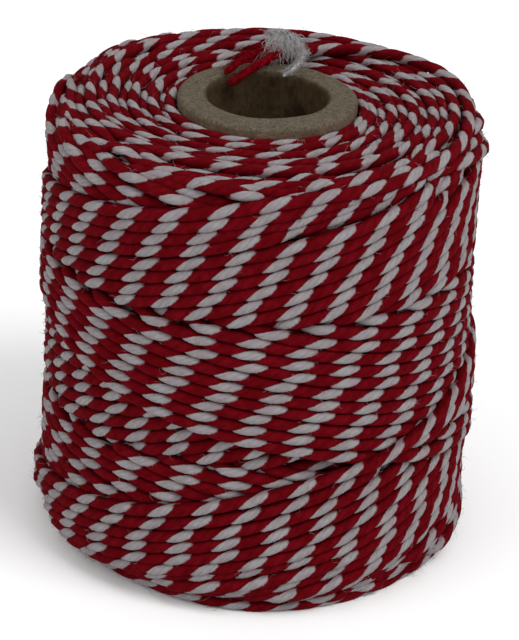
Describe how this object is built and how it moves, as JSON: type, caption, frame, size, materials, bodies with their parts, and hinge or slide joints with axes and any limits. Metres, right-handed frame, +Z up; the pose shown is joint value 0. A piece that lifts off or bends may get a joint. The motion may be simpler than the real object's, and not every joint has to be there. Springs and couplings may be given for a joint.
{
  "type": "ball of twine on a cardboard tube",
  "caption": "Two-colour cotton twine cross-wound on a cardboard tube that stands on end, with the loose end tucked over the rim into the tube.",
  "frame": {"origin": "centre of the underside, on the surface that the tube and the winding stand on", "axes": "+Z up along the tube's axis; -Y is the front, the side seen in the picture; the loose end lies at the back, +Y"},
  "size_m": [0.0702, 0.0692, 0.0748],
  "materials": {
    "cardboard": "matte pressed board",
    "red_cotton": "soft matte twisted cotton",
    "white_cotton": "soft matte twisted cotton"
  },
  "bodies": {
    "root": {"tube": "cardboard", "winding": "red_cotton", "loose_end": "red_cotton", "ply_red_upper": "red_cotton", "ply_red_lower": "red_cotton", "ply_white": "white_cotton"}
  },
  "joints": []
}
